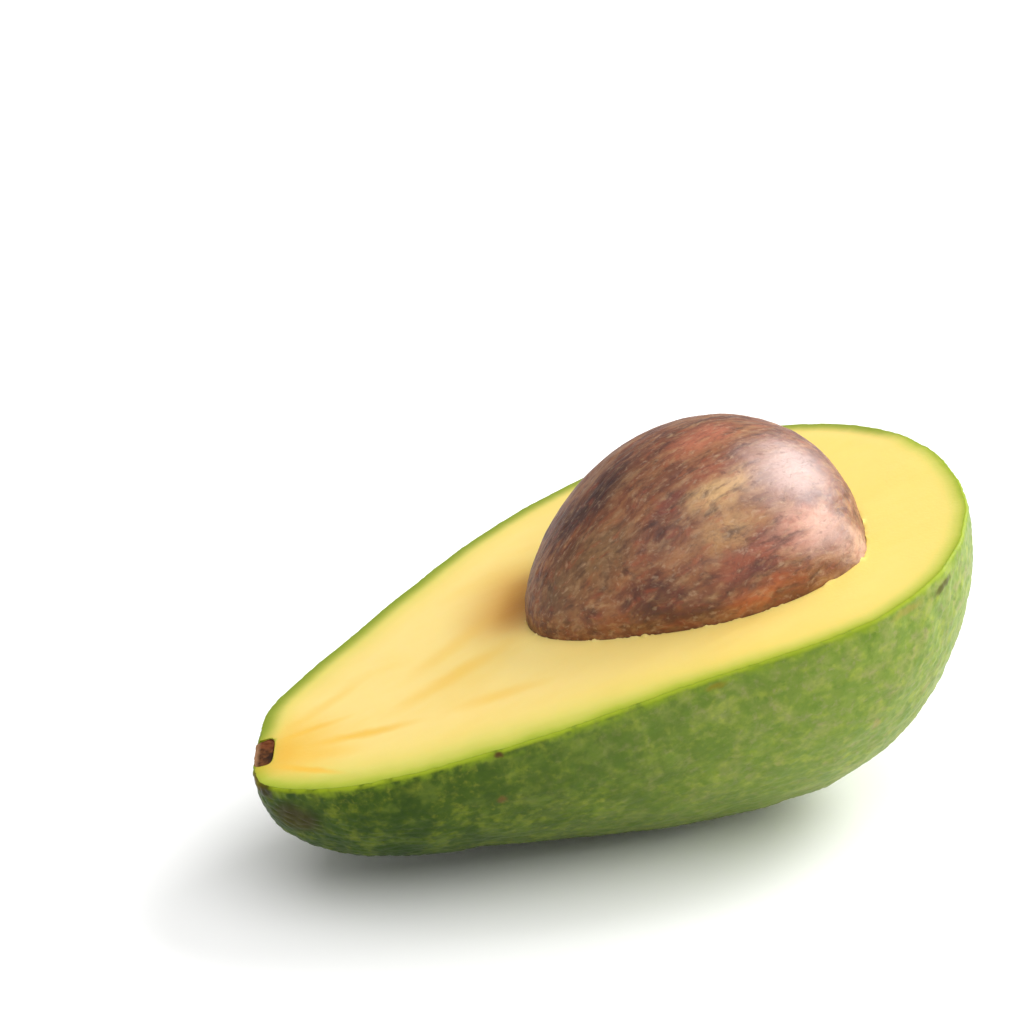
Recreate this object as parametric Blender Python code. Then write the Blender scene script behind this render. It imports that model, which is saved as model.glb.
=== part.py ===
"""Half of an avocado with its seed, cut lengthwise. Metres, +Z up.

Each form is made in the frame of the cut: x runs from the stem end to the blossom end, y runs
across the fruit, and the flesh lies under the plane z = 0. An empty then tips them all to the
way the half lies, stem end low, and sets the bottom centre of their box over the origin.
"""

from math import acos, cos, exp, log1p, pi, radians, sin

import bmesh
import bpy
from mathutils import Euler, Matrix, Vector, noise

MM = 0.001
GAP = 0.3 * MM                  # clearance between pieces that touch

# Fruit. A fullness is the half width or depth there divided by the sine of the angle from the
# stem end, so that equal values give an ellipsoid. They are at even steps of that angle.
LENGTH = 109.6 * MM
NEAR_FULLNESS = [f * MM for f in (23, 26.5, 27.2, 31, 41.9, 45.3, 39)]        # side y < 0
FAR_FULLNESS = [f * MM for f in (22.5, 23.4, 25.9, 33.3, 38.8, 40.7, 42)]   # side y > 0
KEEL_FULLNESS = [f * MM for f in (31.3, 29.3, 27, 33.7, 41.7, 42.5, 44)]    # depth, z < 0
TIP_SHIFT = -0.3 * MM           # the stem end sits a little to the near side
FRUIT_RINGS, FRUIT_SIDES = 72, 104

# Low unevenness of the skin
RELIEF = 0.5 * MM
RELIEF_SPACING = 6 * MM

# Blunt, slanting end where the stem was, square to the stem's direction
STEM_SLANT = radians(27)
STEM_DIRECTION = Vector((-cos(STEM_SLANT), sin(STEM_SLANT), 0))
STEM_END_DEPTH = 1.75 * MM       # from the form's tip, along the stem's direction
STEM_END_ROUNDING = 1 * MM

# Dried stem, set in the blunt end
STUB_CENTRE = Vector((4, 3.2, 0)) * MM
STUB_RADIUS = 3.4 * MM
STUB_DEPTH = 2.4 * MM
STUB_PROUD = 0.3 * MM
STUB_BEVEL = 0.4 * MM
STUB_SIDES = 24

# Seed: half sizes, pointed towards the stem, its widest ring near the cut
SEED_HALF_LENGTH = 24.3 * MM
SEED_HALF_WIDTH = 21.5 * MM
SEED_ABOVE = 16 * MM
SEED_BELOW = 20 * MM
SEED_EGG_NEAR = 0.32            # how much fuller it grows towards the blossom end, near side
SEED_EGG_FAR = 0.22             # far side
SEED_EGG_HIGH = 0.2            # and in height
SEED_ENDS = 0.08                # how much both ends draw in
SEED_CENTRE = Vector((69.8, -0.5, 1.1)) * MM
SEED_TURN = Euler((radians(-2.6), radians(-2.9), radians(-0.5)))
SEED_RELIEF = 0.4 * MM
SEED_RELIEF_SPACING = 14 * MM
SEED_RINGS, SEED_SIDES = 28, 40

# How it lies
REST_TILT = radians(15)         # the blossom end is up
REST_FLAT = 0.5 * MM            # how far the flat spot cuts into the round side

SKIN, FLESH = 0, 1              # material slots of the fruit


def clear_scene():
    for item in list(bpy.data.objects):
        bpy.data.objects.remove(item)


def collection(name):
    made = bpy.data.collections.new(name)
    bpy.context.scene.collection.children.link(made)
    return made


def linear(channel):
    """One sRGB channel, 0 to 255, as a linear value."""
    c = channel / 255
    return c / 12.92 if c <= 0.04045 else ((c + 0.055) / 1.055) ** 2.4


def material(name, colour, roughness):
    made = bpy.data.materials.new(name)
    made.use_nodes = True
    shader = made.node_tree.nodes["Principled BSDF"]
    rgb = [linear(int(colour[i:i + 2], 16)) for i in (1, 3, 5)]
    shader.inputs["Base Color"].default_value = (*rgb, 1)
    shader.inputs["Roughness"].default_value = roughness
    shader.inputs["Metallic"].default_value = 0
    made.diffuse_color = (*rgb, 1)
    return made


def add_object(name, bm, into, materials):
    """Object from a bmesh, shaded smooth but for its cut edges."""
    bmesh.ops.recalc_face_normals(bm, faces=bm.faces)
    mesh = bpy.data.meshes.new(name)
    bm.to_mesh(mesh)
    bm.free()
    for each in materials:
        mesh.materials.append(each)
    mesh.shade_smooth()
    mesh.set_sharp_from_angle(angle=radians(40))
    made = bpy.data.objects.new(name, mesh)
    into.objects.link(made)
    return made


def smooth_through(values, t):
    """Catmull-Rom curve through evenly spaced values, at t from 0 to 1."""
    place = min(max(t, 0), 1) * (len(values) - 1)
    i = min(int(place), len(values) - 2)
    u = place - i
    before = values[i - 1] if i > 0 else 2 * values[0] - values[1]
    after = values[i + 2] if i + 2 < len(values) else 2 * values[-1] - values[-2]
    a, b = values[i], values[i + 1]
    bend = 2 * before - 5 * a + 4 * b - after
    turn = 3 * (a - b) + after - before
    return a + 0.5 * u * (b - before + u * (bend + u * turn))


def fruit_point(d):
    """Point of the fruit's skin for a unit direction d, whose x runs to the blossom end."""
    angle = acos(min(max(-d.x, -1), 1))
    t = angle / pi
    near = smooth_through(NEAR_FULLNESS, t)
    far = smooth_through(FAR_FULLNESS, t)
    lean = d.y / max(sin(angle), 1e-6)
    side = (near + far) / 2 + lean * (far - near) / 2
    y = side * d.y + TIP_SHIFT * ((1 - d.x) / 2) ** 2
    point = Vector((LENGTH / 2 * (1 + d.x), y, smooth_through(KEEL_FULLNESS, t) * d.z))
    beyond = (point.dot(STEM_DIRECTION) + STEM_END_DEPTH) / STEM_END_ROUNDING
    return point - STEM_DIRECTION * STEM_END_ROUNDING * log1p(exp(beyond))


def seed_point(d):
    """Point of the seed about its own centre, for a unit direction d."""
    ends = 1 - SEED_ENDS * d.x ** 2
    egg = SEED_EGG_FAR if d.y > 0 else SEED_EGG_NEAR
    y = SEED_HALF_WIDTH * d.y * (ends + egg * d.x)
    height = SEED_ABOVE if d.z > 0 else SEED_BELOW
    return Vector((SEED_HALF_LENGTH * d.x, y, height * d.z * (ends + SEED_EGG_HIGH * d.x)))


def grown_form(point_at, sides, rings, relief, spacing):
    """Sphere with its poles on x, drawn out to a form and made slightly uneven."""
    bm = bmesh.new()
    turn = Matrix.Rotation(radians(90), 4, "Y")
    bmesh.ops.create_uvsphere(bm, u_segments=sides, v_segments=rings, radius=1, matrix=turn)
    for v in bm.verts:
        v.co = point_at(v.co.normalized())
    bm.normal_update()
    for v in bm.verts:
        v.co += v.normal * relief * noise.noise(v.co / spacing)
    return bm


def slice_off(bm, point, direction, slot):
    """Cuts away what lies beyond a plane and closes the cut with one flat face."""
    geometry = bm.verts[:] + bm.edges[:] + bm.faces[:]
    bmesh.ops.bisect_plane(
        bm, geom=geometry, dist=1e-7, plane_co=point, plane_no=direction, clear_outer=True)
    rim = [e for e in bm.edges if e.is_boundary]
    made = bmesh.ops.contextual_create(bm, geom=rim)
    for face in made["faces"]:
        face.material_index = slot


def subtract(target, shape):
    cut = target.modifiers.new(shape.name, "BOOLEAN")
    cut.operation = "DIFFERENCE"
    cut.solver = "EXACT"
    cut.object = shape


def make_cutter(name, bm, into, materials):
    """Hidden shape whose cut shows flesh."""
    for face in bm.faces:
        face.material_index = FLESH
    made = add_object(name, bm, into, materials)
    made.hide_render = True
    made.display_type = "WIRE"
    return made


def grow(bm, distance):
    bm.normal_update()
    for v in bm.verts:
        v.co += v.normal * distance


def seed_form():
    return grown_form(seed_point, SEED_SIDES, SEED_RINGS, SEED_RELIEF, SEED_RELIEF_SPACING)


def stub_form(radius, depth, proud):
    """Round plug along the stem's direction, from its depth in the flesh to its proud end."""
    bm = bmesh.new()
    turn = STEM_DIRECTION.to_track_quat("Z", "X").to_matrix().to_4x4()
    centre = STUB_CENTRE + STEM_DIRECTION * (proud - depth) / 2
    bmesh.ops.create_cone(
        bm, cap_ends=True, segments=STUB_SIDES, radius1=radius, radius2=radius,
        depth=depth + proud, matrix=Matrix.Translation(centre) @ turn)
    return bm


def make_fruit(into, cutters, lying):
    skin = material("avocado_skin", "#5e7a26", 0.45)
    flesh = material("avocado_flesh", "#ffe288", 0.5)
    bm = grown_form(fruit_point, FRUIT_SIDES, FRUIT_RINGS, RELIEF, RELIEF_SPACING)
    slice_off(bm, Vector((0, 0, 0)), Vector((0, 0, 1)), FLESH)
    down = Vector((-sin(REST_TILT), 0, -cos(REST_TILT)))
    lowest = max(v.co.dot(down) for v in bm.verts)
    slice_off(bm, down * (lowest - REST_FLAT), down, SKIN)
    fruit = add_object("fruit_half", bm, into, [skin, flesh])

    form = seed_form()
    grow(form, GAP)
    hollow = make_cutter("seed_hollow", form, cutters, [skin, flesh])
    hollow.location = SEED_CENTRE
    hollow.rotation_euler = SEED_TURN
    form = stub_form(STUB_RADIUS + GAP, STUB_DEPTH + GAP, STUB_DEPTH)
    socket = make_cutter("stub_socket", form, cutters, [skin, flesh])
    for each in (hollow, socket):
        each.parent = lying
        subtract(fruit, each)
    fruit.parent = lying
    return fruit


def make_seed(into, lying):
    seed = add_object("seed", seed_form(), into, [material("seed_coat", "#7a4b3a", 0.45)])
    seed.location = SEED_CENTRE
    seed.rotation_euler = SEED_TURN
    seed.parent = lying


def make_stub(into, lying):
    bm = stub_form(STUB_RADIUS, STUB_DEPTH, STUB_PROUD)
    ends = [e for face in bm.faces if len(face.verts) == STUB_SIDES for e in face.edges]
    bmesh.ops.bevel(
        bm, geom=ends, offset=STUB_BEVEL, affect="EDGES", segments=2, profile=0.5, material=-1)
    slice_off(bm, Vector((0, 0, 0)), Vector((0, 0, 1)), SKIN)
    stub = add_object("stem_stub", bm, into, [material("dried_stem", "#5a3418", 0.8)])
    stub.parent = lying


def settle(lying, fruit):
    """Tips the empty to the way the half lies and sets its box over the origin."""
    lying.rotation_euler = (0, -REST_TILT, 0)
    turn = lying.rotation_euler.to_matrix()
    points = [turn @ v.co for v in fruit.data.vertices]
    low = Vector([min(p[i] for p in points) for i in range(3)])
    high = Vector([max(p[i] for p in points) for i in range(3)])
    lying.location = (-(low.x + high.x) / 2, -(low.y + high.y) / 2, -low.z)


def main():
    clear_scene()
    parts = collection("avocado_half")
    cutters = collection("cutters")
    lying = bpy.data.objects.new("lying", None)
    parts.objects.link(lying)
    fruit = make_fruit(parts, cutters, lying)
    make_seed(parts, lying)
    make_stub(parts, lying)
    settle(lying, fruit)
    bpy.context.view_layer.update()


main()
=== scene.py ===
"""Looks of half an avocado with its seed, on a plain pale floor.

Each form is made in the frame of the cut, in metres: x runs from the stem end to the blossom end,
y runs across the fruit, and the flesh lies under the plane z = 0. One matrix then lays it down.
"""

from math import acos, atan2, cos, exp, log1p, pi, radians, sin

import bmesh
import bpy
from mathutils import Euler, Matrix, Vector, noise
from mathutils.bvhtree import BVHTree
from mathutils.kdtree import KDTree


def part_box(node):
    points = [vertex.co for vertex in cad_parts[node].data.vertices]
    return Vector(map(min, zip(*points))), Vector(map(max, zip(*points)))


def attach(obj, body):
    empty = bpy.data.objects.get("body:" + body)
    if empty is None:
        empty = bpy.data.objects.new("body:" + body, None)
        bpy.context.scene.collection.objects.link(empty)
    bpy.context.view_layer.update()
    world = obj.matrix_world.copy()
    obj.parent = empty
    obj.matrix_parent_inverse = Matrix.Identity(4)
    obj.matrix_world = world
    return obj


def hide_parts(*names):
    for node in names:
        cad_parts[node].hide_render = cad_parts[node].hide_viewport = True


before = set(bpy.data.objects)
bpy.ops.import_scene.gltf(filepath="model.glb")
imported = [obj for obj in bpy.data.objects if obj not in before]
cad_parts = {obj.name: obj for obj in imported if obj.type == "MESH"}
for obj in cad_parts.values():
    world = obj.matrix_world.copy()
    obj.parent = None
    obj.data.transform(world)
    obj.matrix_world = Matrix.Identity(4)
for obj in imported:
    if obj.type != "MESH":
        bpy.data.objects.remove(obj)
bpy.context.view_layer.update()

MM = 0.001

# Fruit. A fullness is the half width or depth there divided by the sine of the angle from the
# stem end. They are at even steps of that angle.
LENGTH = 109.6 * MM
NEAR_FULLNESS = [f * MM for f in (23, 26.5, 27.2, 31, 41.9, 45.3, 39)]     # side y < 0
FAR_FULLNESS = [f * MM for f in (22.5, 23.4, 25.9, 33.3, 38.8, 40.7, 42)]  # side y > 0
KEEL_FULLNESS = [f * MM for f in (31.3, 29.3, 27, 33.7, 41.7, 42.5, 44)]   # depth, z < 0
TIP_SHIFT = -0.3 * MM           # the stem end sits a little to the near side
RELIEF = 0.28 * MM              # low unevenness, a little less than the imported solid's
RELIEF_SPACING = 6 * MM

# Blunt, slanting end where the stem was
STEM_SLANT = radians(27)
STEM_DIRECTION = Vector((-cos(STEM_SLANT), sin(STEM_SLANT), 0))
STEM_END_DEPTH = 1.75 * MM      # from the form's tip, along the stem's direction
STEM_END_ROUNDING = 1 * MM

# Dried stem
STUB_CENTRE = Vector((4, 3.2, 0)) * MM
STUB_RADIUS = 3.4 * MM
STUB_DEPTH = 2.4 * MM
STUB_PROUD = 0.3 * MM
STUB_SQUARENESS = 4             # how near its section comes to a sharp-cornered plug
STUB_SUNK = 0.12 * MM           # its cut end dries to a little below the cut
STUB_ROUGHNESS = 0.25 * MM
STUB_SPACING = 1.1 * MM         # of the roughness on its sides
STUB_SHRINK = 0.3               # share of the roughness by which its sides have drawn in
STUB_CUT_SPACING = 0.8 * MM     # of the roughness on its cut, which is half as deep
STUB_SIDES, STUB_RINGS = 96, 64
SOCKET_GAP = 0.05 * MM          # between the stub and the flesh

# Seed
SEED_HALF_LENGTH = 24.3 * MM
SEED_HALF_WIDTH = 21.5 * MM
SEED_ABOVE = 16 * MM
SEED_BELOW = 20 * MM
SEED_EGG_NEAR = 0.32            # how much fuller it grows towards the blossom end, near side
SEED_EGG_FAR = 0.22             # far side
SEED_EGG_HIGH = 0.2             # and in height
SEED_ENDS = 0.08                # how much both ends draw in
SEED_CENTRE = Vector((69.8, -0.5, 1.1)) * MM
SEED_TURN = Euler((radians(-2.6), radians(-2.9), radians(-0.5)))
SEED_RELIEF = 0.4 * MM
SEED_RELIEF_SPACING = 14 * MM
SEED_CAD_RINGS, SEED_CAD_SIDES = 28, 40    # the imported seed's, whose box gives the place
SEED_RINGS, SEED_SIDES = 220, 320
SEED_WRINKLE = 0.06 * MM        # lengthwise wrinkles of the papery coat
WRINKLE_SIZE = (4, 1.3, 1.3)    # along and across the grain, in mm
FINER, FINER_SHARE = 2.1, 0.5   # a second set of wrinkles, this much closer and this weak
SEED_FLAKE = 0.05 * MM          # thickness of the coat where it has stayed on
FLAKE_SIZE = (7, 4, 4)          # along and across the grain, in mm
RAGGED, RAGGED_SHARE = 0.8, 0.35    # closeness and weight of the wrinkles that fray its outline
FLAKE_EDGE = 6                  # how steep its edge is
GRAIN_GATHER = 0.5              # how far the coat's grain draws together at the ends

# The coat flares out to a corner where the seed meets the cut, and draws in above it
SKIRT_TURN = radians(-50)       # round the seed, from its blossom end to the near side
SKIRT_CORNER, CORNER_WIDTH = 0.9 * MM, radians(9)
SKIRT_SPREAD, SPREAD_WIDTH = 0.6 * MM, radians(25)
SKIRT_HEIGHT = 7 * MM
SKIRT_TURNED_IN = 0.5 * MM      # how far under the cut it is back on the seed
WAIST, WAIST_HEIGHT, WAIST_RANGE = 0.45 * MM, 10 * MM, 5 * MM

# How it lies
REST_TILT = radians(15)

# Rind: a pebbled shell, with a thin green edge that shows round the cut
SKIN_SIDES, SKIN_RINGS = 520, 320
INNER_SIDES = 48
PEBBLE_SPACING = 1.5 * MM
PEBBLE_HEIGHT = 0.13 * MM
PEBBLE_CREASE = 0.45            # how much of a pebble its rounded edge takes
PEBBLE_LEVEL = 0.8              # share of its height that lies under the fruit's own surface
DIMPLE_SPACING = 3.4 * MM
DIMPLE_DEPTH = 0.12 * MM
DIMPLE_RIM = 3 * MM             # the dimples grow to their full depth this far under the rim
DIMPLE_AT_RIM = 0.2             # share of that depth that they have at the rim
SKIN_THICKNESS = 0.9 * MM
SKIN_EDGE = 0.45 * MM           # how much of its thickness shows round the cut
EDGE_ROUNDING = 0.5 * MM        # the knife leaves the edge of the rind softly rounded
RIM_DROP = 0.1 * MM             # the rounded edge ends this far under the cut
WALL_TOP = -0.6 * MM            # height of the rim of the plain, hidden walls

# Edge of the rind, and the flesh's outside over it: how far in from the rim, and at what height
RIND_LEDGE = [
    (0.32 * MM, -0.035 * MM), (SKIN_EDGE, -0.02 * MM), (SKIN_EDGE + 0.01 * MM, -0.06 * MM),
    (SKIN_THICKNESS, -0.34 * MM)]
FLESH_LEDGE = [(SKIN_EDGE + 0.02 * MM, -0.03 * MM), (SKIN_THICKNESS + 0.05 * MM, -0.31 * MM)]

# Cut flesh
CUT_WAVE, CUT_WAVE_SPACING = 0.12 * MM, 11 * MM
CUT_GRAIN, CUT_GRAIN_SPACING = 0.03 * MM, 1.6 * MM
CUT_GRAIN_STRETCH = 3           # along the fruit
LEVEL_RIM, LEVEL_FADE = 0.4 * MM, 4 * MM    # the cut is level at the rim, and then grows uneven
EDGE_STEPS = [s * MM for s in (0.25, 0.6, 1.0, 1.5, 2.1, 2.8, 3.6, 4.5)]    # in from the rim
EDGE_SHARE = 0.4                # the most of the way to the seed that these steps take
CUT_STEPS = 44                  # from there to the seed
LIP_WIDTH = 0.7 * MM            # the last of them stops this far from the seed
SWELL_WIDTH, SWELL = 0.3 * MM, 0.03 * MM    # the flesh swells a little beside the seed
HOLLOW_LEVELS = 26
SEED_GAP = 0.06 * MM
FLESH_CLIMB = 0.45 * MM         # how high torn flesh clings to the seed, at most
LEAST_CLIMB = 0.1               # and at least, as a share of that
TEARS = [(9, 1), (31, 0.7), (83, 0.4)]    # closeness and weight of the tears round the seed

WAY_UP = Vector((0, 0, 1))

# Camera, where the photograph was taken from, in the frame of the cut
EYE = Vector((-90.4, -395.5, 226.3)) * MM
AIM = Vector((50.91, 10.12, 12.9)) * MM
SENSOR, LENS = 36, 122.3        # in mm
CAMERA_ROLL = radians(-1.44)

# Studio: a white room that is brighter on one side
BRIGHT_SIDE = Vector((0.95, -0.3, 0))
ROOM_DIM, ROOM_BRIGHT = 0.22, 0.7

# Square softboxes: direction, distance and size in metres, power in watts
SOFTBOXES = {
    "right_hand": ((0.8, 0.1, 0.58), 1.4, 0.84, 17),
    "overhead": ((-0.1, -0.35, 0.9), 1.8, 2.4, 28),
    "low_right": ((0.86, -0.5, 0.14), 1.4, 1.0, 10)}
LIT_HEIGHT = 30 * MM            # they face a point this high
FLOOR_SIZE = 6
FLOOR_DROP = 0.2 * MM           # keeps the floor clear of the flat spot that it carries


def smooth_through(values, t):
    """Catmull-Rom curve through evenly spaced values, at t from 0 to 1."""
    place = min(max(t, 0), 1) * (len(values) - 1)
    i = min(int(place), len(values) - 2)
    u = place - i
    before = values[i - 1] if i > 0 else 2 * values[0] - values[1]
    after = values[i + 2] if i + 2 < len(values) else 2 * values[-1] - values[-2]
    a, b = values[i], values[i + 1]
    bend = 2 * before - 5 * a + 4 * b - after
    turn = 3 * (a - b) + after - before
    return a + 0.5 * u * (b - before + u * (bend + u * turn))


def fruit_point(d):
    """Point of the fruit's skin for a unit direction d, whose x runs to the blossom end."""
    angle = acos(min(max(-d.x, -1), 1))
    t = angle / pi
    near = smooth_through(NEAR_FULLNESS, t)
    far = smooth_through(FAR_FULLNESS, t)
    lean = d.y / max(sin(angle), 1e-6)
    side = (near + far) / 2 + lean * (far - near) / 2
    y = side * d.y + TIP_SHIFT * ((1 - d.x) / 2) ** 2
    point = Vector((LENGTH / 2 * (1 + d.x), y, smooth_through(KEEL_FULLNESS, t) * d.z))
    beyond = (point.dot(STEM_DIRECTION) + STEM_END_DEPTH) / STEM_END_ROUNDING
    return point - STEM_DIRECTION * STEM_END_ROUNDING * log1p(exp(beyond))


def seed_point(d):
    """Point of the seed about its own centre, for a unit direction d."""
    ends = 1 - SEED_ENDS * d.x ** 2
    egg = SEED_EGG_FAR if d.y > 0 else SEED_EGG_NEAR
    y = SEED_HALF_WIDTH * d.y * (ends + egg * d.x)
    height = SEED_ABOVE if d.z > 0 else SEED_BELOW
    return Vector((SEED_HALF_LENGTH * d.x, y, height * d.z * (ends + SEED_EGG_HIGH * d.x)))


def stub_point(d):
    """Point of the stem's plug about its middle, its length along x: a ball squared off."""
    across = (d.y ** 2 + d.z ** 2) ** 0.5
    power = STUB_SQUARENESS
    fill = (abs(d.x) ** power + across ** power) ** (-1 / power)
    length = STUB_DEPTH + STUB_PROUD
    return Vector((length / 2 * d.x, STUB_RADIUS * d.y, STUB_RADIUS * d.z)) * fill


def grown_form(point_at, sides, rings, half=False):
    """Grid wrapped round as a sphere, or its lower half, poles on x, and drawn out to a form."""
    bm = bmesh.new()
    around = sides // 2 if half else sides
    bmesh.ops.create_grid(bm, x_segments=rings, y_segments=around, size=1)
    seam = [v for v in bm.verts if v.is_boundary]
    sweep = pi if half else 2 * pi
    for v in bm.verts:
        along, round_axis = pi * (v.co.x + 1) / 2, sweep * (v.co.y + 1) / 2
        girth = sin(along)
        v.co = (-cos(along), girth * cos(round_axis), -girth * sin(round_axis))
    bmesh.ops.remove_doubles(bm, verts=seam, dist=1e-6)
    for v in bm.verts:
        v.co = point_at(v.co.normalized())
    bmesh.ops.recalc_face_normals(bm, faces=bm.faces)
    bm.normal_update()
    return bm


def raise_by(bm, height_at):
    """Moves each point along the form's normal by the height of its place."""
    for v in bm.verts:
        v.co += v.normal * height_at(v.co)


def low_relief(place):
    return RELIEF * noise.noise(place / RELIEF_SPACING)


def seed_relief(place):
    return SEED_RELIEF * noise.noise(place / SEED_RELIEF_SPACING)


SEED_IN_CUT = Matrix.LocRotScale(SEED_CENTRE, SEED_TURN, None)


def rind_relief(place):
    """Low unevenness, shallow dimples, and close pebbles with creases between them."""
    nearest = noise.voronoi(place / PEBBLE_SPACING)[0]
    pebble = min((nearest[1] - nearest[0]) / PEBBLE_CREASE, 1)
    depth = min(max(-place.z / DIMPLE_RIM, DIMPLE_AT_RIM), 1)
    dimple = noise.noise(place / DIMPLE_SPACING) * depth
    return low_relief(place) + PEBBLE_HEIGHT * (pebble - PEBBLE_LEVEL) + DIMPLE_DEPTH * dimple


def coat_skirt(place):
    """How far the coat flares out to its corner at the cut, and draws in above."""
    height = (SEED_IN_CUT @ place).z
    turn = atan2(place.y, place.x) - SKIRT_TURN
    beside = exp(-(turn / SPREAD_WIDTH) ** 2)
    flare = SKIRT_CORNER * exp(-(turn / CORNER_WIDTH) ** 2) + SKIRT_SPREAD * beside
    if height > 0:
        flare *= max(1 - height / SKIRT_HEIGHT, 0) ** 2
    else:
        flare *= max(1 + height / SKIRT_TURNED_IN, 0)
    waist = WAIST * beside * exp(-((height - WAIST_HEIGHT) / WAIST_RANGE) ** 2)
    return flare - waist


def grain_place(place):
    """Coordinates whose lines along the seed draw together towards both of its ends."""
    along = min((place.x / SEED_HALF_LENGTH) ** 2, 1)
    girth = (1 - GRAIN_GATHER * along) ** 0.5
    return Vector((place.x, place.y / girth, place.z / girth))


def coat_relief(place):
    """Wrinkles along the seed, and flakes where the outer coat has stayed on."""
    grain = grain_place(place)
    fine = Vector([g / size for g, size in zip(grain, WRINKLE_SIZE)]) / MM
    wrinkle = noise.noise(fine) + FINER_SHARE * noise.noise(fine * FINER)
    broad = Vector([g / size for g, size in zip(grain, FLAKE_SIZE)]) / MM
    flake = noise.noise(broad) + RAGGED_SHARE * noise.noise(fine * RAGGED)
    edge = min(max(flake * FLAKE_EDGE + 0.5, 0), 1)
    coat = SEED_WRINKLE * wrinkle + SEED_FLAKE * (edge - 0.5)
    return seed_relief(place) + coat_skirt(place) + coat


def lying_matrix():
    """Frame of the cut to the way the half lies. The seed's packed box gives its place."""
    turn = Matrix.Rotation(-REST_TILT, 4, "Y")
    bm = grown_form(seed_point, SEED_CAD_SIDES, SEED_CAD_RINGS)
    raise_by(bm, seed_relief)
    bm.transform(turn @ SEED_IN_CUT)
    low = Vector([min(v.co[i] for v in bm.verts) for i in range(3)])
    bm.free()
    return Matrix.Translation(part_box("seed")[0] - low) @ turn


LYING = lying_matrix()
SEED_PLACE = LYING @ SEED_IN_CUT


def finish_piece(name, bm, material, replaced, crease=40):
    """Closed piece from a bmesh that is already in place, shaded smooth but for its edges."""
    bmesh.ops.recalc_face_normals(bm, faces=bm.faces)
    mesh = bpy.data.meshes.new(name)
    bm.to_mesh(mesh)
    bm.free()
    mesh.materials.append(material)
    mesh.shade_smooth()
    mesh.set_sharp_from_angle(angle=radians(crease))
    piece = bpy.data.objects.new(name, mesh)
    bpy.context.scene.collection.objects.link(piece)
    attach(piece, "root")
    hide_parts(*replaced)
    return piece


def start_ring(bm, points):
    """Closed ring of edges through the points."""
    ring = [bm.verts.new(p) for p in points]
    for i, v in enumerate(ring):
        bm.edges.new((ring[i - 1], v))
    return ring


def ring_edges(bm, ring):
    return [bm.edges.get((ring[i - 1], v)) for i, v in enumerate(ring)]


def draw_ring(bm, ring, points):
    """Extrudes a closed ring to new points, one for each of its own, and returns the new ring."""
    made = bmesh.ops.extrude_edge_only(bm, edges=ring_edges(bm, ring))["geom"]
    fresh = {v for v in made if isinstance(v, bmesh.types.BMVert)}
    drawn = []
    for v, point in zip(ring, points):
        new = next(e.other_vert(v) for e in v.link_edges if e.other_vert(v) in fresh)
        new.co = point
        drawn.append(new)
    return drawn


def rim_ring(bm):
    """The open ring of a half form, in order round the seed."""
    rim = {v for e in bm.edges if e.is_boundary for v in e.verts}
    return sorted(rim, key=lambda v: atan2(v.co.y - SEED_CENTRE.y, v.co.x - SEED_CENTRE.x))


def ways_in(points, reach=4):
    """Unit direction across the cut, from the rim to the inside, at each point of the rim."""
    ways = []
    count = len(points)
    for i in range(count):
        along = points[(i + reach) % count] - points[i - reach]
        ways.append(Vector((-along.y, along.x, 0)).normalized())
    return ways


def inset(points, ways, distance, height):
    """The rim's points moved in across the cut and set at a height."""
    moved = [p + w * distance for p, w in zip(points, ways)]
    return [Vector((p.x, p.y, height)) for p in moved]


def close_inside(bm, ring, depth):
    """Closes a shell or body from its rim with a plain wall at a depth under the skin."""
    wall = grown_form(fruit_point, INNER_SIDES, SKIN_RINGS, half=True)
    raise_by(wall, lambda place: low_relief(place) - depth)
    for v in rim_ring(wall):
        v.co.z = WALL_TOP
    mesh = bpy.data.meshes.new("wall")
    wall.to_mesh(mesh)
    wall.free()
    known = set(bm.verts)
    bm.from_mesh(mesh)
    bpy.data.meshes.remove(mesh)
    fresh = {v for v in bm.verts if v not in known}
    edges = [e for e in bm.edges if e.is_boundary and e.verts[0] in fresh]
    bmesh.ops.bridge_loops(bm, edges=ring_edges(bm, ring) + edges)


def make_skin_form():
    """Outer surface of the rind down from the cut, and the points of its rim."""
    bm = grown_form(fruit_point, SKIN_SIDES, SKIN_RINGS, half=True)
    raise_by(bm, rind_relief)
    ring = rim_ring(bm)
    points = [Vector((v.co.x, v.co.y, 0)) for v in ring]
    for v in ring:
        v.co.z = -RIM_DROP
    for v in bm.verts:
        above = EDGE_ROUNDING + v.co.z
        if above > 0:
            drawn_in = EDGE_ROUNDING - (EDGE_ROUNDING ** 2 - above ** 2) ** 0.5
            v.co -= Vector((v.normal.x, v.normal.y, 0)).normalized() * drawn_in
    return bm, ring, points


def rest_flat(bm):
    """Flattens what would lie under the floor."""
    for v in bm.verts:
        v.co.z = max(v.co.z, 0)


def make_skin(bm, ring, points, ways, material):
    """Shell of the rind: a rounded edge, a ledge that the flesh covers, and a plain inner wall."""
    for distance, height in RIND_LEDGE:
        ring = draw_ring(bm, ring, inset(points, ways, distance, height))
    close_inside(bm, ring, SKIN_THICKNESS)
    bm.transform(LYING)
    rest_flat(bm)
    return finish_piece("skin", bm, material, ["fruit_half"], crease=60)


def seed_in_cut():
    """The seed's surface, in the frame of the cut, for the hollow to follow."""
    bm = grown_form(seed_point, SEED_SIDES // 2, SEED_RINGS // 2)
    raise_by(bm, lambda place: seed_relief(place) + coat_skirt(place))
    bm.transform(SEED_IN_CUT)
    tree = BVHTree.FromBMesh(bm)
    bm.free()
    return tree


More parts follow.
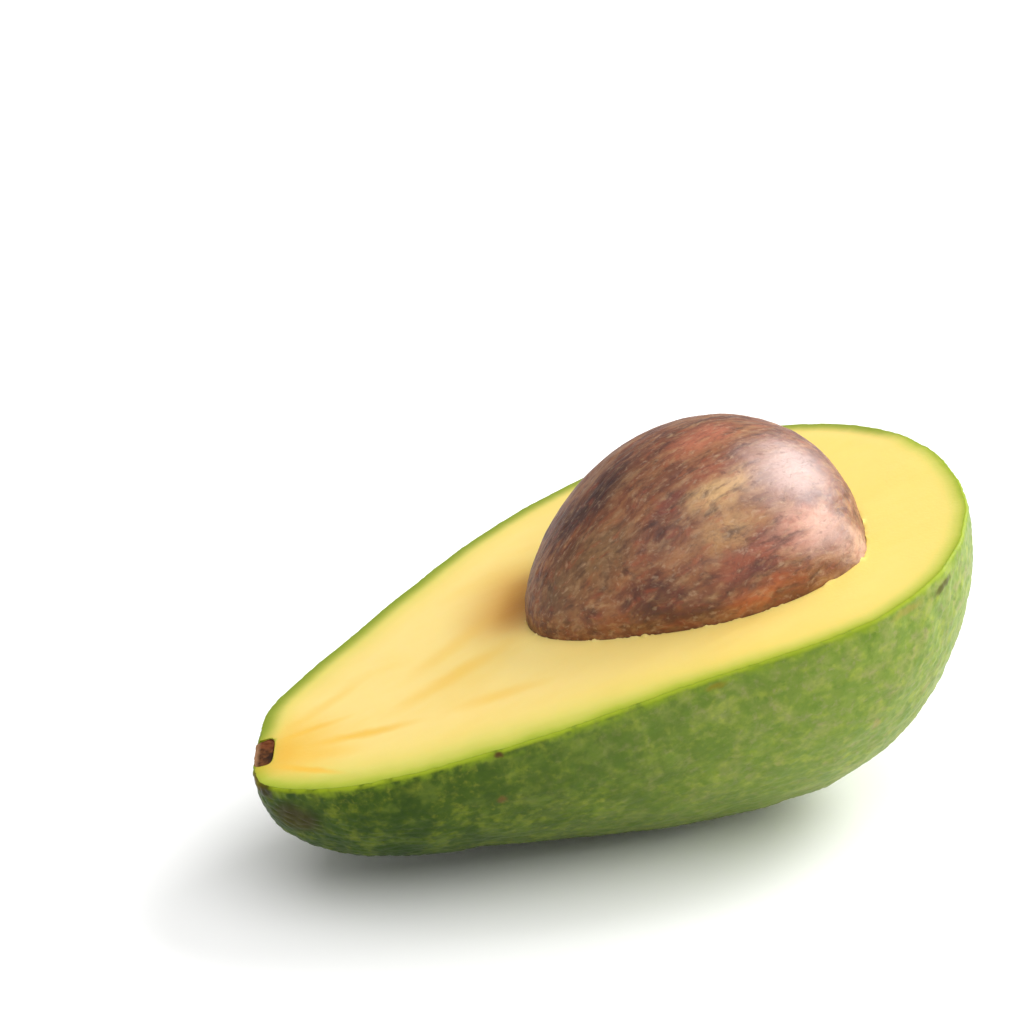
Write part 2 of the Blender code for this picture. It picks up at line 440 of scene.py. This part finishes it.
def cut_wave(place, from_rim):
    """Height of the cut's slight unevenness, which fades out at the rim."""
    fade = min(max((from_rim - LEVEL_RIM) / LEVEL_FADE, 0), 1)
    wave = CUT_WAVE * noise.noise(place / CUT_WAVE_SPACING)
    stretched = Vector((place.x / CUT_GRAIN_STRETCH, place.y, 0))
    grain = CUT_GRAIN * noise.noise(stretched / CUT_GRAIN_SPACING)
    return fade * (wave + grain)


def steps_in(reach):
    """How far each ring of the cut face is from the rim, where the seed is a reach away."""
    count = len(EDGE_STEPS)
    steps = [min(s, EDGE_SHARE * reach * (i + 1) / count) for i, s in enumerate(EDGE_STEPS)]
    first = min(EDGE_STEPS[-1], EDGE_SHARE * reach)
    rest = reach - LIP_WIDTH - first
    return steps + [first + rest * i / CUT_STEPS for i in range(1, CUT_STEPS + 1)]


def torn_height(spoke):
    """How high the torn flesh clings to the seed in a direction."""
    torn = sum(weight * noise.noise(spoke * closeness) for closeness, weight in TEARS)
    return FLESH_CLIMB * min(max(torn, LEAST_CLIMB), 1)


def keep_distance(bm, name, points):
    """Stores on each point of the flesh how far it is from the nearest of some points, in mm."""
    tree = KDTree(len(points))
    for i, p in enumerate(points):
        tree.insert(p, i)
    tree.balance()
    layer = bm.verts.layers.float.new(name)
    for v in bm.verts:
        v[layer] = tree.find(v.co)[2] / MM


def make_flesh(points, ways, material):
    """Cut face with spokes from the rim to the seed, the hollow under it, and a hidden outside."""
    tree = seed_in_cut()
    centre = Vector((SEED_CENTRE.x, SEED_CENTRE.y, 0))
    rim = inset(points, ways, SKIN_EDGE, 0)
    spokes = [(p - centre).normalized() for p in rim]

    def on_seed(start, way):
        """Point a gap away from where the seed's surface is met."""
        return tree.ray_cast(start, way)[0] + way * SEED_GAP

    bm = bmesh.new()
    outer = start_ring(bm, rim)
    lips = [on_seed(centre, s) for s in spokes]
    ring = outer
    for gone_all in zip(*[steps_in((lip - p).length) for lip, p in zip(lips, rim)]):
        row = []
        for p, spoke, gone in zip(rim, spokes, gone_all):
            place = p - spoke * gone
            row.append(place + WAY_UP * cut_wave(place, gone))
        ring = draw_ring(bm, ring, row)
    row = []
    for lip, spoke in zip(lips, spokes):
        place = lip + spoke * SWELL_WIDTH
        row.append(place + WAY_UP * (cut_wave(place, 1) + SWELL))
    ring = draw_ring(bm, ring, row)
    ring = draw_ring(bm, ring, [on_seed(centre + WAY_UP * torn_height(s), s) for s in spokes])
    for level in range(1, HOLLOW_LEVELS):
        down = pi / 2 * level / HOLLOW_LEVELS
        ways_down = [s * cos(down) - WAY_UP * sin(down) for s in spokes]
        ring = draw_ring(bm, ring, [on_seed(centre, way) for way in ways_down])
    bottom = on_seed(centre, -WAY_UP)
    ring = draw_ring(bm, ring, [bottom] * len(ring))
    bmesh.ops.pointmerge(bm, verts=ring, merge_co=bottom)

    under = outer
    for distance, height in FLESH_LEDGE:
        under = draw_ring(bm, under, inset(points, ways, distance, height))
    close_inside(bm, under, FLESH_LEDGE[-1][0])
    keep_distance(bm, "rim_distance", points)
    keep_distance(bm, "seed_distance", lips)
    bm.transform(LYING)
    return finish_piece("flesh", bm, material, ["fruit_half"])


def make_seed(material):
    """Seed with its wrinkled coat. The coat's own coordinates are stored for its grain."""
    bm = grown_form(seed_point, SEED_SIDES, SEED_RINGS)
    layer = bm.verts.layers.float_vector.new("grain")
    for v in bm.verts:
        v[layer] = grain_place(v.co) / MM
    raise_by(bm, coat_relief)
    bm.transform(SEED_PLACE)
    return finish_piece("seed_with_coat", bm, material, ["seed"])


def stub_form(grow=0):
    """The dried stem's plug in the frame of the cut, grown by a clearance."""
    bm = grown_form(stub_point, STUB_SIDES, STUB_RINGS)
    turn = STEM_DIRECTION.to_track_quat("X", "Z").to_matrix().to_4x4()
    centre = STUB_CENTRE + STEM_DIRECTION * (STUB_PROUD - STUB_DEPTH) / 2
    raise_by(bm, lambda place: grow)
    bm.transform(Matrix.Translation(centre) @ turn)
    return bm


def make_stub(material):
    """Dried end of the stem, rough all over, cut with the fruit and sunk a little below it."""
    bm = stub_form()
    bm.normal_update()
    raise_by(bm, lambda place: STUB_ROUGHNESS * (noise.noise(place / STUB_SPACING) - STUB_SHRINK))
    for v in bm.verts:
        rough = STUB_ROUGHNESS / 2 * noise.noise(v.co / STUB_CUT_SPACING)
        v.co.z = min(v.co.z, rough - STUB_SUNK)
    bm.transform(LYING)
    return finish_piece("dried_stem_stub", bm, material, ["stem_stub"], crease=70)


def cut_socket(piece):
    """Opens the socket of the dried stem in a piece."""
    bm = stub_form(grow=SOCKET_GAP)
    bm.transform(LYING)
    mesh = bpy.data.meshes.new("socket")
    bm.to_mesh(mesh)
    bm.free()
    socket = bpy.data.objects.new("socket", mesh)
    bpy.context.scene.collection.objects.link(socket)
    cut = piece.modifiers.new("socket", "BOOLEAN")
    cut.operation = "DIFFERENCE"
    cut.solver = "MANIFOLD"
    cut.object = socket
    bpy.context.view_layer.update()
    graph = bpy.context.evaluated_depsgraph_get()
    made = bpy.data.meshes.new_from_object(piece.evaluated_get(graph))
    piece.modifiers.clear()
    piece.data = made
    bpy.data.objects.remove(socket)


def linear_colour(code):
    """An sRGB hex colour as linear red, green, blue and alpha."""
    shares = [int(code[i:i + 2], 16) / 255 for i in (1, 3, 5)]
    return (*[s / 12.92 if s <= 0.04045 else ((s + 0.055) / 1.055) ** 2.4 for s in shares], 1)


def new_material(name):
    made = bpy.data.materials.new(name)
    made.use_nodes = True
    return made, made.node_tree, made.node_tree.nodes["Principled BSDF"].inputs


def add(tree, kind, settings=None, inputs=None, stops=None):
    """Adds a shader node, sets it, sets or links its inputs, and returns its outputs."""
    made = tree.nodes.new("ShaderNode" + kind)
    for key, value in (settings or {}).items():
        setattr(made, key, value)
    for key, value in (inputs or {}).items():
        if isinstance(value, bpy.types.NodeSocket):
            tree.links.new(value, made.inputs[key])
        else:
            made.inputs[key].default_value = value
    if stops:
        elements = made.color_ramp.elements
        for place, code in stops[2:]:
            elements.new(place)
        for element, (place, code) in zip(elements, stops):
            element.position = place
            element.color = linear_colour(code)
    return made.outputs


def place_in_mm(tree, matrix):
    """Coordinates in the frame that a matrix places, in mm."""
    world = add(tree, "TexCoord")["Object"]
    return add(tree, "Mapping", {"vector_type": "TEXTURE"}, {
        "Vector": world, "Location": matrix.translation, "Rotation": matrix.to_euler(),
        "Scale": (MM, MM, MM)})["Vector"]


SMOOTH = {"interpolation_type": "SMOOTHSTEP"}


def mottle(tree, place, spacing, detail=3, stretch=(1, 1, 1)):
    """Soft random pattern around 0.5, with features of about a spacing in mm."""
    scaled = add(tree, "Mapping", {"vector_type": "TEXTURE"}, {
        "Vector": place, "Scale": [spacing * s for s in stretch]})["Vector"]
    return add(tree, "TexNoise", inputs={
        "Vector": scaled, "Scale": 1.0, "Detail": detail, "Roughness": 0.55})["Fac"]


def blotches(tree, place, spacing, clear, full, stretch=(1, 1, 1)):
    """Ragged patches: none where the mottle is at the clear value, whole at the full one."""
    return add(tree, "MapRange", SMOOTH, {
        "Value": mottle(tree, place, spacing, 4, stretch), "From Min": clear,
        "From Max": full})["Result"]


def wander(tree, place, spacing, reach):
    """Coordinates that stray softly by about a reach in mm, for ragged edges."""
    scaled = add(tree, "Mapping", {"vector_type": "TEXTURE"}, {
        "Vector": place, "Scale": [spacing] * 3})["Vector"]
    stray = add(tree, "TexNoise", inputs={"Vector": scaled, "Scale": 1.0, "Detail": 3})["Color"]
    centred = add(tree, "VectorMath", {"operation": "SUBTRACT"}, {
        0: stray, 1: (0.5, 0.5, 0.5)})["Vector"]
    return add(tree, "VectorMath", {"operation": "MULTIPLY_ADD"}, {
        0: centred, 1: [2 * reach] * 3, 2: place})["Vector"]


def spot(tree, place, centre, radii, core=0.3):
    """Soft spot, whole inside its core's share of the radii and nothing beyond them."""
    offset = add(tree, "Mapping", {"vector_type": "TEXTURE"}, {
        "Vector": place, "Location": centre, "Scale": radii})["Vector"]
    distance = add(tree, "VectorMath", {"operation": "LENGTH"}, {0: offset})["Value"]
    return add(tree, "MapRange", SMOOTH, {
        "Value": distance, "From Min": 1.0, "From Max": core})["Result"]


STREAK_PEAK = 0.4               # where on its way a streak is strongest
STREAK_TAPER = 1.7              # brings it to nothing by its ends


def streak(tree, place, start, end, width):
    """Soft line on the cut from one place to another, in mm, that fades along its way."""
    run = Vector(end) - Vector(start)
    line = add(tree, "Mapping", {"vector_type": "TEXTURE"}, {
        "Vector": place, "Location": (*start, 0),
        "Rotation": (0, 0, atan2(run.y, run.x)), "Scale": (run.length, width, 1)})["Vector"]
    middle = add(tree, "VectorMath", {"operation": "SUBTRACT"}, {
        0: line, 1: (STREAK_PEAK, 0, 0)})["Vector"]
    tapered = add(tree, "VectorMath", {"operation": "MULTIPLY"}, {
        0: middle, 1: (STREAK_TAPER, 1, 0)})["Vector"]
    distance = add(tree, "VectorMath", {"operation": "LENGTH"}, {0: tapered})["Value"]
    return add(tree, "MapRange", SMOOTH, {
        "Value": distance, "From Min": 1.0, "From Max": 0.1})["Result"]


def painted(tree, base, coats):
    """Lays coats of colour over a base. A coat is a colour and the factors of its share."""
    for code, *shares in coats:
        share = shares[0]
        for other in shares[1:]:
            share = add(tree, "Math", {"operation": "MULTIPLY"}, {0: share, 1: other})["Value"]
        base = add(tree, "Mix", {"data_type": "RGBA"}, {
            0: share, 6: base, 7: linear_colour(code)})[2]
    return base


# Colour of the flesh by how far in it is from the rim's outside, in mm
RIM_COLOURS = [
    (0.3, "#98a824"), (0.8, "#a6b22e"), (1.5, "#b4bb3e"), (2.2, "#c4c350"), (3.0, "#cec85a"),
    (4.0, "#dacf66"), (5.5, "#e6d370"), (8.0, "#f0d77c"), (12.0, "#f6da86")]

# Golden fibres that run from the stem end towards the seed: start, end and half width in mm,
# and strength
FIBRES = [
    ((8.0, 3.6), (19.0, 1.3), 1.2, 0.6),
    ((10.0, -0.8), (26.5, -9.4), 1.6, 0.75),
    ((4.8, -2.2), (12.0, -13.0), 1.1, 0.8),
    ((6.5, -1.0), (17.0, -9.0), 2.4, 0.4),
    ((22.0, -2.8), (48.0, 1.4), 2.6, 0.5),
    ((9.5, 5.6), (26.0, 9.5), 1.6, 0.35),
    ((28.0, -9.0), (44.0, -14.0), 2.0, 0.4),
    ((28.0, 3.5), (46.0, 10.0), 2.6, 0.35)]


def avocado_flesh():
    """Cut avocado flesh: buttery and slightly translucent, pale yellow with a lime rim.

    Its cells are too fine to show, so its grain is drawn at half a millimetre.
    """
    made, tree, shader = new_material("avocado_flesh")
    place = place_in_mm(tree, LYING)
    parts = add(tree, "SeparateXYZ", inputs={"Vector": place})
    along, across = parts["X"], parts["Y"]
    rim = add(tree, "Attribute", {"attribute_name": "rim_distance"})["Fac"]
    seed = add(tree, "Attribute", {"attribute_name": "seed_distance"})["Fac"]
    stray = wander(tree, place, 3, 0.5)

    # the lime rim is widest at the stem end and on the near side, and wavers by under half a mm
    narrowing = add(tree, "MapRange", inputs={
        "Value": along, "From Min": 40, "From Max": 108, "To Min": 1.0, "To Max": 1.9})["Result"]
    wavering = add(tree, "MapRange", inputs={
        "Value": mottle(tree, place, 7, 2), "To Min": -0.9, "To Max": 0.9})["Result"]
    far_narrowing = add(tree, "MapRange", SMOOTH, {
        "Value": across, "From Min": 0, "From Max": 7, "To Min": 1.0, "To Max": 1.6})["Result"]
    far_depth = add(tree, "Math", {"operation": "MULTIPLY"}, {
        0: rim, 1: far_narrowing})["Value"]
    depth = add(tree, "Math", {"operation": "MULTIPLY_ADD"}, {
        0: far_depth, 1: narrowing, 2: wavering})["Value"]
    deepest = RIM_COLOURS[-1][0]
    share = add(tree, "Math", {"operation": "DIVIDE"}, {0: depth, 1: deepest})["Value"]
    colour = add(tree, "ValToRGB", inputs={"Fac": share}, stops=[
        (mm / deepest, code) for mm, code in RIM_COLOURS])["Color"]

    inside = add(tree, "MapRange", SMOOTH, {
        "Value": rim, "From Min": 1.2, "From Max": 5.0})["Result"]
    to_blossom = add(tree, "MapRange", SMOOTH, {
        "Value": along, "From Min": 30, "From Max": 95})["Result"]
    # masks for the painted shade beside the seed: its soft shadow, and the darker band close to it
    seed_shade_and_stain = add(tree, "MapRange", SMOOTH, {
        "Value": seed, "From Min": 13.5, "From Max": 2.0})["Result"]
    seed_contact_shade_and_stain = add(tree, "MapRange", SMOOTH, {
        "Value": seed, "From Min": 6.0, "From Max": 0.0})["Result"]
    far_side = add(tree, "MapRange", SMOOTH, {
        "Value": across, "From Min": 2.0, "From Max": 10.0})["Result"]
    far_rim = add(tree, "MapRange", SMOOTH, {
        "Value": rim, "From Min": 3.2, "From Max": 0.6})["Result"]
    seed_shaded_side = spot(tree, place, (44, 13.5, 0), (14, 15, 9))
    colour = painted(tree, colour, [
        ("#f3d672", to_blossom, inside, 0.85),
        ("#eebd48", spot(tree, stray, (5.5, 1.0, 0), (15, 12, 9), 0.1), inside, 0.85),
        ("#e8ac2c", spot(tree, stray, (5.0, 1.5, 0), (5.5, 7, 9)), 0.4),
        # painted shade with an orange stain: the seed's shadow and the darkening close beside it,
        # on its stem side
        ("#d69c40", seed_shade_and_stain, seed_shaded_side, 0.92),
        ("#a5640e", seed_contact_shade_and_stain, seed_shaded_side, 0.8),
        ("#84941f", far_rim, far_side, 0.85),
        ("#f0c95e", blotches(tree, place, 12, 0.45, 0.75, (2, 1, 1)), inside, 0.35)])
    colour = painted(tree, colour, [
        ("#f0bd3c", streak(tree, stray, start, end, width), strength)
        for start, end, width, strength in FIBRES])
    tree.links.new(colour, shader["Base Color"])
    rough = add(tree, "MapRange", inputs={
        "Value": mottle(tree, place, 2.5), "To Min": 0.36, "To Max": 0.52})["Result"]
    tree.links.new(rough, shader["Roughness"])
    shader["Specular IOR Level"].default_value = 0.35
    shader["Subsurface Weight"].default_value = 0.2
    shader["Subsurface Radius"].default_value = (1.0, 0.6, 0.2)
    shader["Subsurface Scale"].default_value = 0.002
    bump = add(tree, "Bump", inputs={
        "Height": mottle(tree, place, 0.5), "Distance": 0.03 * MM})["Normal"]
    tree.links.new(bump, shader["Normal"])
    return made


# Marks on the rind, in the frame of the cut in mm: centre, radii, colour, strength
RIND_MARKS = [
    ((27.8, -24.0, -0.5), (0.9, 0.9, 0.7), "#4a2a14", 0.9),
    ((26.9, -22.5, -8.0), (1.0, 1.0, 1.2), "#6e4526", 0.6),
    ((3.4, -8.0, -5.0), (5.5, 5.0, 4), "#3c2a02", 0.65),
    ((56.0, -32.0, -1.2), (2.6, 1.2, 0.8), "#7d6f0c", 0.7),
    ((77.0, -32.2, -17.2), (0.9, 0.9, 3.2), "#9d7a5c", 0.4),
    ((91.0, -33.3, -2.0), (4.2, 3.0, 0.9), "#4c4a0e", 0.9),
    ((84.0, -36.0, -1.2), (4.5, 1.5, 0.9), "#95883a", 0.6),
    ((1.2, -5.6, -0.6), (1.6, 2.4, 1.6), "#2a1c02", 0.85),
    ((1.6, -2.6, -0.2), (1.8, 3.6, 1.0), "#5e3c14", 0.8),
    ((0.8, 1.0, -3.6), (2.6, 5.5, 3.6), "#3a2a10", 0.8),
    ((40, 24, -24), (2.5, 2, 2), "#5c4a22", 0.5),
    ((92, 20, -18), (1.5, 2.5, 2), "#6a4a28", 0.5),
    ((109, 2, -12), (1.6, 3.4, 3.4), "#4a3a18", 0.7)]


def avocado_rind():
    """Fresh green rind: waxy and pebbled, mottled olive and leaf green with pale flecks.

    Its pores are about 0.3 mm across, too fine to show, so the flecks are drawn at 1 to 2 mm
    and the grain of its wax at 0.8 mm.
    """
    made, tree, shader = new_material("avocado_rind")
    place = place_in_mm(tree, LYING)
    parts = add(tree, "SeparateXYZ", inputs={"Vector": place})
    stray = wander(tree, place, 1.5, 0.6)
    colour = add(tree, "ValToRGB", inputs={"Fac": mottle(tree, place, 6)}, stops=[
        (0.3, "#243c00"), (0.7, "#3a5200")])["Color"]
    to_blossom = add(tree, "MapRange", SMOOTH, {
        "Value": parts["X"], "From Min": 10, "From Max": 100})["Result"]
    blossom_end = add(tree, "MapRange", SMOOTH, {
        "Value": parts["X"], "From Min": 98, "From Max": 108})["Result"]
    under_rim = add(tree, "MapRange", SMOOTH, {
        "Value": parts["Z"], "From Min": -1.7, "From Max": -0.5})["Result"]
    cut_edge = add(tree, "MapRange", SMOOTH, {
        "Value": parts["Z"], "From Min": -0.6, "From Max": -0.05})["Result"]
    gathered = blotches(tree, place, 6, 0.36, 0.6)
    colour = painted(tree, colour, [
        ("#5f7020", blotches(tree, place, 4, 0.48, 0.66), 0.5),
        ("#223c00", blotches(tree, place, 2.0, 0.54, 0.3), 0.45),
        ("#78821c", blotches(tree, place, 1.7, 0.44, 0.72), gathered, 0.6),
        ("#9a9a30", blotches(tree, place, 0.9, 0.52, 0.82), gathered, 0.4),
        # partly painted light: the lighter green and the pale grey blotches towards the blossom
        # end are partly the rind's own colour and partly light and sheen from the right
        ("#82983a", to_blossom, 0.88),
        ("#98945c", to_blossom, blotches(tree, place, 3, 0.46, 0.66), 0.45),
        ("#56761c", to_blossom, blotches(tree, place, 2.2, 0.56, 0.34), 0.55),
        ("#a4ac3e", to_blossom, blotches(tree, place, 1.8, 0.46, 0.76), 0.55),
        ("#a08c70", to_blossom, blotches(tree, stray, 1.3, 0.5, 0.76), 0.45),
        ("#4c6a12", to_blossom, blotches(tree, stray, 0.9, 0.5, 0.28), 0.4),
        ("#587820", blossom_end, 0.7),
        ("#7d9412", under_rim, blotches(tree, place, 2, 0.35, 0.65), 0.7),
        ("#94a520", cut_edge, blotches(tree, place, 2.5, 0.2, 0.5), 0.95)])
    colour = painted(tree, colour, [
        (code, spot(tree, stray, centre, radii), strength)
        for centre, radii, code, strength in RIND_MARKS])
    tree.links.new(colour, shader["Base Color"])
    rough = add(tree, "MapRange", inputs={
        "Value": mottle(tree, place, 3), "To Min": 0.34, "To Max": 0.5})["Result"]
    tree.links.new(rough, shader["Roughness"])
    shader["Specular IOR Level"].default_value = 0.15
    bump = add(tree, "Bump", inputs={
        "Height": mottle(tree, place, 0.8, 4), "Distance": 0.07 * MM})["Normal"]
    tree.links.new(bump, shader["Normal"])
    return made


# Patches of the seed's coat, in its own frame in mm: centre, radii, colour, strength
COAT_PATCHES = [
    # pale pink low on the right, partly the coat's own colour and partly painted sheen from the
    # light on the right
    ((10.0, -20.0, 5.5), (7.5, 5, 4.5), "#d49c86", 0.85),
    ((-14.5, -7.2, 9.7), (9, 7, 7), "#82623c", 0.7),
    ((-20.0, -3.7, 6.1), (6, 6, 6), "#6f5538", 0.7),
    ((-9.0, 1.0, 14.0), (12, 5, 5), "#300c06", 0.9),
    ((-14.5, 3.0, 11.0), (7, 5, 5), "#3d1c14", 0.8),
    ((7.0, -2.8, 16.0), (8, 5, 4), "#b8684a", 0.75),
    ((3.6, -9.5, 14.6), (5, 3, 3), "#a05436", 0.6),
    ((-3.0, -10.3, 13.0), (6, 1.8, 2.6), "#6c2418", 0.7),
    ((3.0, -13.3, 12.9), (8, 4, 4.5), "#dcb074", 0.75),
    ((0.8, -17.4, 9.4), (7.5, 3.5, 3.6), "#c0925a", 0.7),
    ((1.5, -20.0, 5.0), (10, 3.6, 3.2), "#9c5036", 0.7),
    ((1.5, -21.0, 3.8), (3.4, 1.6, 1.3), "#4c1c14", 0.6),
    ((1.0, -21.4, 0.4), (10, 3, 2.4), "#b65e30", 0.72),
    ((-11.4, -15.5, 2.7), (10, 5, 4), "#4e1800", 0.85),
    ((-17.0, -11.1, 1.8), (3.2, 3, 1.6), "#94502a", 0.6),
    # pale pink at the base on the right, partly the coat's own colour and partly painted sheen
    # from the light on the right
    ((15.8, -18.9, -1.4), (6, 6, 4), "#cfa690", 0.8),
    ((12, 8, 14), (7, 5, 5), "#8a5a40", 0.7),
    ((-4, 14, 11), (9, 5, 5), "#8e6c48", 0.7),
    ((8, 18, 7), (8, 4, 3.5), "#5a2c22", 0.7)]


def seed_coat():
    """Papery brown seed coat: dry, faintly shiny, blotched and streaked along its length.

    Its fibres are about 0.2 mm wide, too fine to show, so the streaks are drawn at about 1 mm.
    """
    made, tree, shader = new_material("avocado_seed_coat")
    place = place_in_mm(tree, SEED_PLACE)
    grain = add(tree, "Attribute", {"attribute_name": "grain"})["Vector"]
    grain = wander(tree, grain, 6, 1.2)
    stray = wander(tree, place, 2.5, 1.8)
    colour = add(tree, "ValToRGB", inputs={"Fac": mottle(tree, grain, 2.5, 3, (3, 1, 1))}, stops=[
        (0.3, "#542612"), (0.5, "#784224"), (0.7, "#9a663c")])["Color"]
    colour = painted(tree, colour, [
        ("#ab8256", blotches(tree, grain, 1.6, 0.48, 0.74, (3, 1, 1)), 0.5)])
    colour = painted(tree, colour, [
        (code, spot(tree, stray, centre, radii, 0.15), strength)
        for centre, radii, code, strength in COAT_PATCHES])
    colour = painted(tree, colour, [
        ("#300c06", blotches(tree, grain, 1.4, 0.5, 0.26, (3, 1, 1)), 0.65),
        ("#963f1c", blotches(tree, grain, 1.2, 0.5, 0.76, (3, 1, 1)), 0.5),
        ("#b58e66", blotches(tree, grain, 1.1, 0.5, 0.78, (2, 1, 1)), 0.5),
        ("#2c0e06", blotches(tree, grain, 0.9, 0.5, 0.76, (2, 1, 1)), 0.35),
        # painted highlight where the right-hand softbox shines on the seed, and below it a fainter
        # pale coat that is partly painted sheen
        ("#ceb0a8", spot(tree, stray, (13.5, -12.5, 10.5), (11.5, 9.5, 8.5), 0.1), 0.75),
        ("#d8b0a0", spot(tree, stray, (13.0, -20.5, 3.5), (7.5, 5, 5), 0.1), 0.5),
        ("#4a2018", blotches(tree, grain, 0.8, 0.54, 0.74, (1.5, 1, 1)), 0.4),
        ("#c8a888", blotches(tree, grain, 0.7, 0.46, 0.26, (1.5, 1, 1)), 0.3)])
    tree.links.new(colour, shader["Base Color"])
    rough = add(tree, "MapRange", inputs={
        "Value": mottle(tree, grain, 1.2, 3, (2, 1, 1)), "To Min": 0.4, "To Max": 0.6})["Result"]
    tree.links.new(rough, shader["Roughness"])
    shader["Specular IOR Level"].default_value = 0.65
    bump = add(tree, "Bump", inputs={
        "Height": mottle(tree, grain, 0.7, 4, (1.6, 1, 1)), "Distance": 0.13 * MM})["Normal"]
    tree.links.new(bump, shader["Normal"])
    return made


def dried_stem():
    """Dry woody stem end: dark brown and matt, paler on its outer face.

    Its fibres are too fine to show, so its grain is drawn at 0.7 mm.
    """
    made, tree, shader = new_material("dried_stem_wood")
    place = place_in_mm(tree, LYING)
    colour = add(tree, "ValToRGB", inputs={"Fac": mottle(tree, place, 0.7)}, stops=[
        (0.3, "#2a1608"), (0.7, "#70421e")])["Color"]
    outward = add(tree, "VectorMath", {"operation": "DOT_PRODUCT"}, {
        0: place, 1: STEM_DIRECTION})["Value"]
    face = (STUB_CENTRE.dot(STEM_DIRECTION) + STUB_PROUD) / MM
    outer_face = add(tree, "MapRange", SMOOTH, {
        "Value": outward, "From Min": face - 0.9, "From Max": face - 0.2})["Result"]
    stray = wander(tree, place, 1, 0.4)
    colour = painted(tree, colour, [
        ("#7c3e1c", spot(tree, stray, (6.2, 4.4, 0), (1.6, 2.2, 2)), 0.5),
        ("#1c0e05", spot(tree, stray, (5.4, 0.8, 0), (1.6, 1.6, 2)), 0.8),
        ("#a8805e", outer_face, 0.7)])
    tree.links.new(colour, shader["Base Color"])
    shader["Roughness"].default_value = 0.85
    shader["Specular IOR Level"].default_value = 0.2
    return made


def white_board():
    """Matt white studio board: plain and even, so that nothing on it draws the eye."""
    made, _, shader = new_material("white_board")
    shader["Base Color"].default_value = linear_colour("#fbfbfa")
    shader["Roughness"].default_value = 0.9
    shader["Specular IOR Level"].default_value = 0.1
    return made


def make_floor():
    """Plain pale floor, which isn't part of the object."""
    bm = bmesh.new()
    bmesh.ops.create_grid(bm, x_segments=1, y_segments=1, size=FLOOR_SIZE)
    mesh = bpy.data.meshes.new("floor")
    bm.to_mesh(mesh)
    bm.free()
    mesh.materials.append(white_board())
    floor = bpy.data.objects.new("floor", mesh)
    bpy.context.scene.collection.objects.link(floor)
    floor.location.z = -FLOOR_DROP


def make_softbox(name, way, distance, size, power):
    """Square area light that faces the object from a direction."""
    light = bpy.data.lights.new(name, "AREA")
    light.size = size
    light.energy = power
    lamp = bpy.data.objects.new(name, light)
    lamp.location = Vector(way).normalized() * distance + WAY_UP * LIT_HEIGHT
    lamp.rotation_euler = Vector(way).to_track_quat("Z", "Y").to_euler()
    bpy.context.scene.collection.objects.link(lamp)


def light_studio():
    """A white room, brighter on the right, with softboxes on the right and above."""
    world = bpy.data.worlds.new("white_room")
    world.use_nodes = True
    tree = world.node_tree
    way = add(tree, "TexCoord")["Generated"]
    to_right = add(tree, "VectorMath", {"operation": "DOT_PRODUCT"}, {
        0: way, 1: BRIGHT_SIDE.normalized()})["Value"]
    strength = add(tree, "MapRange", inputs={
        "Value": to_right, "From Min": -1.0, "To Min": ROOM_DIM, "To Max": ROOM_BRIGHT})["Result"]
    tree.links.new(strength, tree.nodes["Background"].inputs["Strength"])
    tree.nodes["Background"].inputs["Color"].default_value = (1, 1, 1, 1)
    bpy.context.scene.world = world
    for name, lamp in SOFTBOXES.items():
        make_softbox(name, *lamp)


def place_camera():
    """Aims the camera from its eye, with its slight roll, and makes it the scene's own."""
    eye = LYING @ EYE
    aim = LYING @ AIM
    camera = bpy.data.objects.new("camera", bpy.data.cameras.new("camera"))
    camera.data.sensor_width = SENSOR
    camera.data.lens = LENS
    camera.location = eye
    level = (aim - eye).to_track_quat("-Z", "Y").to_matrix()
    roll = Matrix.Rotation(CAMERA_ROLL, 3, "Z")
    camera.rotation_euler = (level @ roll).to_euler()
    bpy.context.scene.collection.objects.link(camera)
    bpy.context.scene.camera = camera


place_camera()
light_studio()
make_floor()
skin_form, skin_ring, rim_points = make_skin_form()
rim_ways = ways_in(rim_points)
skin = make_skin(skin_form, skin_ring, rim_points, rim_ways, avocado_rind())
flesh = make_flesh(rim_points, rim_ways, avocado_flesh())
for piece in (skin, flesh):
    cut_socket(piece)
make_seed(seed_coat())
make_stub(dried_stem())
bpy.context.scene.view_settings.view_transform = "Standard"
